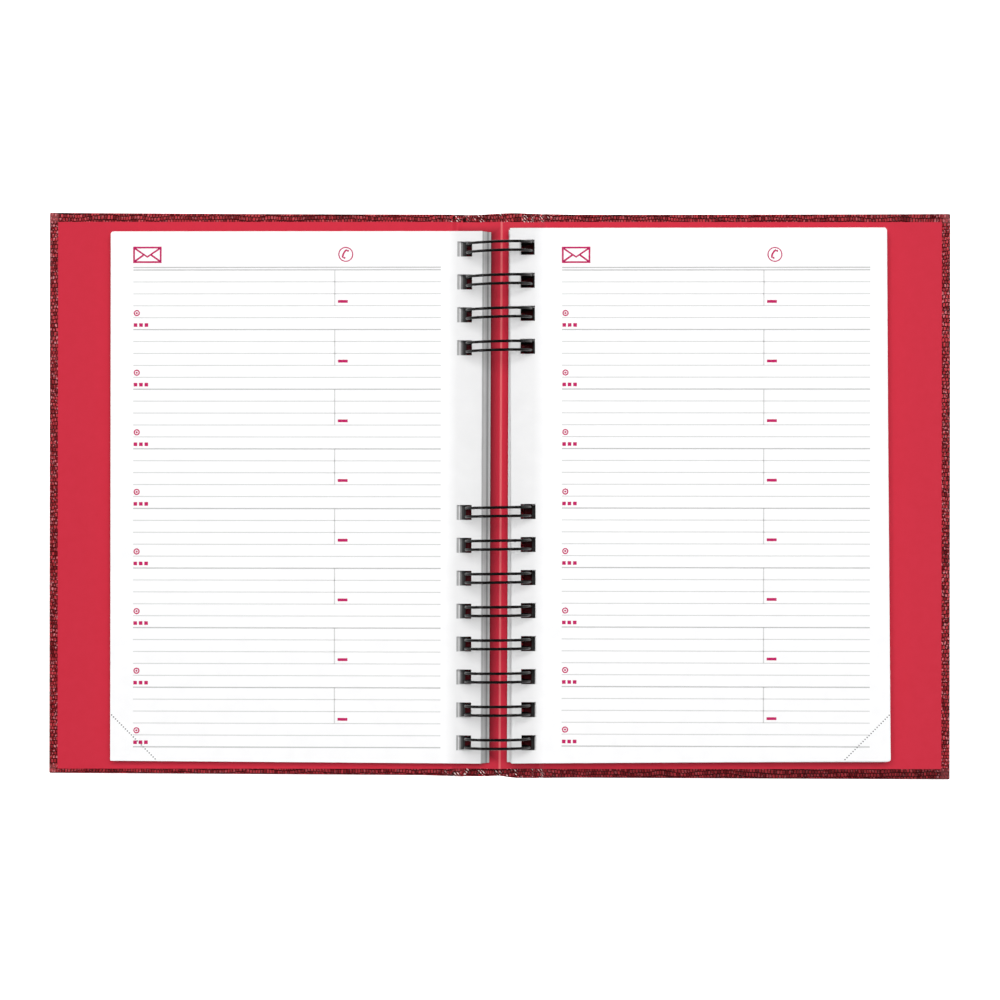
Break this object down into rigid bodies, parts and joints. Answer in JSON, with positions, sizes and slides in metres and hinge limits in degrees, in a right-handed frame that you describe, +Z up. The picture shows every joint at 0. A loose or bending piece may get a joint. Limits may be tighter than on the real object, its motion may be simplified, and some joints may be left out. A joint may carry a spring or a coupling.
{
  "type": "spiral planner",
  "caption": "Hard-case planner lying open: ruled address pages bound with black twin-loop wires through a creased red spine strip, in a dark red reptile-grain case",
  "frame": {"origin": "On the table, under the middle of the open case", "axes": "+X towards the right-hand page, +Y towards the head of the pages, +Z up"},
  "size_m": [0.349, 0.218, 0.026],
  "materials": {
    "leatherette": "embossed reptile grain, glossy",
    "greyboard": "dense bookbinding board, matt",
    "lining_paper": "coated red paper, satin",
    "page_paper": "uncoated white paper, matt",
    "coated_wire": "black nylon-coated steel, glossy"
  },
  "bodies": {
    "binding": {"spine_covering": "leatherette", "spine_strip": "lining_paper", "upper_wire": "coated_wire", "lower_wire": "coated_wire"},
    "front_cover": {"front_covering": "leatherette", "front_board": "greyboard", "front_lining": "lining_paper"},
    "back_cover": {"back_covering": "leatherette", "back_board": "greyboard", "back_lining": "lining_paper"},
    "left_pages": {"left_section_1": "page_paper", "left_section_2": "page_paper", "left_section_3": "page_paper"},
    "left_upper_pages": {"left_section_4": "page_paper", "left_section_5": "page_paper", "left_section_6": "page_paper"},
    "left_leaf_1": {"left_leaf_1": "page_paper"},
    "left_leaf_2": {"left_leaf_2": "page_paper"},
    "right_pages": {"right_section_1": "page_paper", "right_section_2": "page_paper", "right_section_3": "page_paper"},
    "right_upper_pages": {"right_section_4": "page_paper", "right_section_5": "page_paper", "right_section_6": "page_paper"},
    "right_leaf_1": {"right_leaf_1": "page_paper"},
    "right_leaf_2": {"right_leaf_2": "page_paper"}
  },
  "joints": [
    {"name": "front_cover_hinge", "type": "hinge", "parent": "binding", "child": "front_cover", "pos_m": [-0.014, 0, 0.004], "axis": [0, -1, 0], "range_deg": [-90, 0]},
    {"name": "back_cover_hinge", "type": "hinge", "parent": "binding", "child": "back_cover", "pos_m": [0.014, 0, 0.004], "axis": [0, 1, 0], "range_deg": [-90, 0]},
    {"name": "left_pages_swing", "type": "hinge", "parent": "binding", "child": "left_pages", "pos_m": [0.0005, 0, 0.01335], "axis": [0, -1, 0], "range_deg": [-90, 0]},
    {"name": "right_pages_swing", "type": "hinge", "parent": "binding", "child": "right_pages", "pos_m": [0.0005, 0, 0.01335], "axis": [0, 1, 0], "range_deg": [-90, 0]},
    {"name": "left_pages_turn", "type": "hinge", "parent": "left_pages", "child": "left_upper_pages", "pos_m": [0.0005, 0, 0.01335], "axis": [0, 1, 0], "range_deg": [0, 180]},
    {"name": "left_leaf_1_turn", "type": "hinge", "parent": "left_upper_pages", "child": "left_leaf_1", "pos_m": [0.0005, 0, 0.01335], "axis": [0, 1, 0], "range_deg": [0, 180]},
    {"name": "left_leaf_2_turn", "type": "hinge", "parent": "left_leaf_1", "child": "left_leaf_2", "pos_m": [0.0005, 0, 0.01335], "axis": [0, 1, 0], "range_deg": [0, 180]},
    {"name": "right_pages_turn", "type": "hinge", "parent": "right_pages", "child": "right_upper_pages", "pos_m": [0.0005, 0, 0.01335], "axis": [0, -1, 0], "range_deg": [0, 180]},
    {"name": "right_leaf_1_turn", "type": "hinge", "parent": "right_upper_pages", "child": "right_leaf_1", "pos_m": [0.0005, 0, 0.01335], "axis": [0, -1, 0], "range_deg": [0, 180]},
    {"name": "right_leaf_2_turn", "type": "hinge", "parent": "right_leaf_1", "child": "right_leaf_2", "pos_m": [0.0005, 0, 0.01335], "axis": [0, -1, 0], "range_deg": [0, 180]}
  ],
  "couplings": [
    {"joint": "left_pages_swing", "follows": "front_cover_hinge", "ratio": 1},
    {"joint": "right_pages_swing", "follows": "back_cover_hinge", "ratio": 1}
  ]
}
